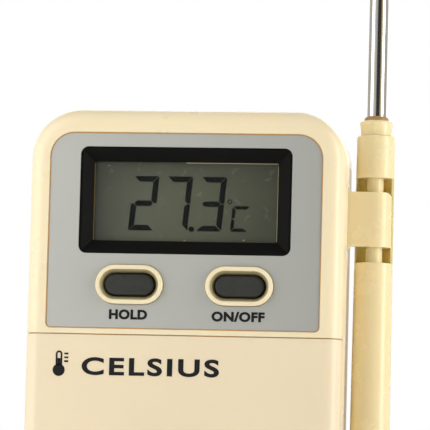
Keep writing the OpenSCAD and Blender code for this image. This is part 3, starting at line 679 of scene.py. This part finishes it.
def stadium_loop(x, z, length, r, count=24):
    points = []
    for side, start in ((1, -90), (-1, 90)):
        for i in range(count + 1):
            a = math.radians(start + 180 * i / count)
            points.append((x + side * length / 2 + r * math.cos(a), z + r * math.sin(a)))
    return points


def band(outer, inner, outer_y, inner_y, thick):
    """Sections of a band between two loops, each at its own depth."""
    sections = []
    for (x1, z1), (x2, z2) in zip(outer, inner):
        front = [(x1, outer_y, z1), (x2, inner_y, z2)]
        back = [(x2, inner_y + thick, z2), (x1, outer_y + thick, z1)]
        sections.append(front + back)
    return sections


# Gap round the panel and at the seam, and the free space that a liner leaves on each side of it
GAP_WIDTH = 0.2
LINER_PLAY = 0.02
PANEL_LINER_THICK = 0.1
# Radii of the panel's corners, at its foot and at its head
PANEL_RADII = (0.8, 4.4)
# Rounded front edge of the case, how far back the cover reaches, and how deep in the seam its liner lies
EDGE_RADIUS = 3
COVER_DEPTH = 3
SEAM_SETBACK = 0.25
SEAM_LINER_THICK = 0.3
SEAM_LINER_SHARE = 0.985
ARC_STEPS = 8
# Wells round the keys, each lined with a sheet of painted shade: straight length, then radius and depth at the
# mouth and at the foot of the slope
WELL_KEYS = [("well_painted_shade_left", "hold_button"), ("well_painted_shade_right", "power_button")]
WELL_LENGTH = 5.3
WELL_SLOPE = ((2.76, -9.92), (2.13, -8.5))
WELL_LINER_THICK = 0.02


def make_panel_liner():
    """A thin sheet of painted shade with a golden glow of the plastic, set in the gap round the panel."""
    low, high = (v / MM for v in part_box("face_panel"))
    outer = rounded_loop(low, high, *PANEL_RADII, GAP_WIDTH - LINER_PLAY)
    inner = rounded_loop(low, high, *PANEL_RADII, LINER_PLAY)
    front = low.y - LINER_PLAY
    sections = band(outer, inner, front, front, PANEL_LINER_THICK)
    sweep("groove_panel_painted_shade", sections, GAP_PAINTED_SHADE_AND_GLOW, "case", True)


def make_seam_liner():
    """The same painted shade and glow in the seam above the cover, round the front and a little way along both
    sides.
    """
    half_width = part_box("front_shell")[1].x / MM
    cover_low, cover_high = (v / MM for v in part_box("battery_cover"))
    path = []
    for side, start in ((-1, 180), (1, 270)):
        end = [(side * (half_width - SEAM_SETBACK), -COVER_DEPTH - SEAM_LINER_THICK)]
        x, y = side * (half_width - EDGE_RADIUS), cover_low.y + EDGE_RADIUS
        r = EDGE_RADIUS - SEAM_SETBACK
        angles = [math.radians(start + 90 * i / ARC_STEPS) for i in range(ARC_STEPS + 1)]
        arc = [(x + r * math.cos(a), y + r * math.sin(a)) for a in angles]
        path += end + arc if side < 0 else arc + end
    foot, head = cover_high.z + LINER_PLAY, cover_high.z + GAP_WIDTH - LINER_PLAY
    sections = []
    for x, y in path:
        inward = (x * SEAM_LINER_SHARE, y + SEAM_LINER_THICK)
        sections.append([(x, y, foot), (*inward, foot), (*inward, head), (x, y, head)])
    sweep("groove_seam_painted_shade", sections, GAP_PAINTED_SHADE_AND_GLOW, "case", False)


def make_painted_well_shade():
    """A sheet of painted shade on the slope inside the rim of each key: olive, darker towards the foot of the
    slope.
    """
    (mouth_r, mouth_y), (foot_r, foot_y) = WELL_SLOPE
    for name, key in WELL_KEYS:
        low, high = (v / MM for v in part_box(key))
        middle = (low + high) / 2
        mouth = stadium_loop(middle.x, middle.z, WELL_LENGTH, mouth_r)
        foot = stadium_loop(middle.x, middle.z, WELL_LENGTH, foot_r)
        sweep(name, band(mouth, foot, mouth_y, foot_y, WELL_LINER_THICK), WELL_PAINTED_SHADE, "case", True)


def make_floor():
    low, high = CAD_BOX
    size = 1.6
    bm = bmesh.new()
    bmesh.ops.create_grid(bm, x_segments=1, y_segments=1, size=size)
    mesh = bpy.data.meshes.new("floor")
    bm.to_mesh(mesh)
    bm.free()
    floor = bpy.data.objects.new("floor", mesh)
    bpy.context.scene.collection.objects.link(floor)
    floor.location.z = low[2]
    s = Shader("floor", 0.7)
    s.colour(s.mix(s.span(s.noise(0.05, 3), 0, 1), linear(236, 236, 236), linear(240, 240, 240)))
    s.bsdf.inputs["Emission Color"].default_value = (0.9, 0.9, 0.9, 1)
    s.bsdf.inputs["Emission Strength"].default_value = 0.3
    mesh.materials.append(s.material)


bpy.context.scene.view_settings.view_transform = "Standard"
make_camera()
make_world()
make_lights()
make_floor()
dress_frame()
make_prints()
make_reading()
make_lens_details()
make_panel_liner()
make_seam_liner()
make_painted_well_shade()
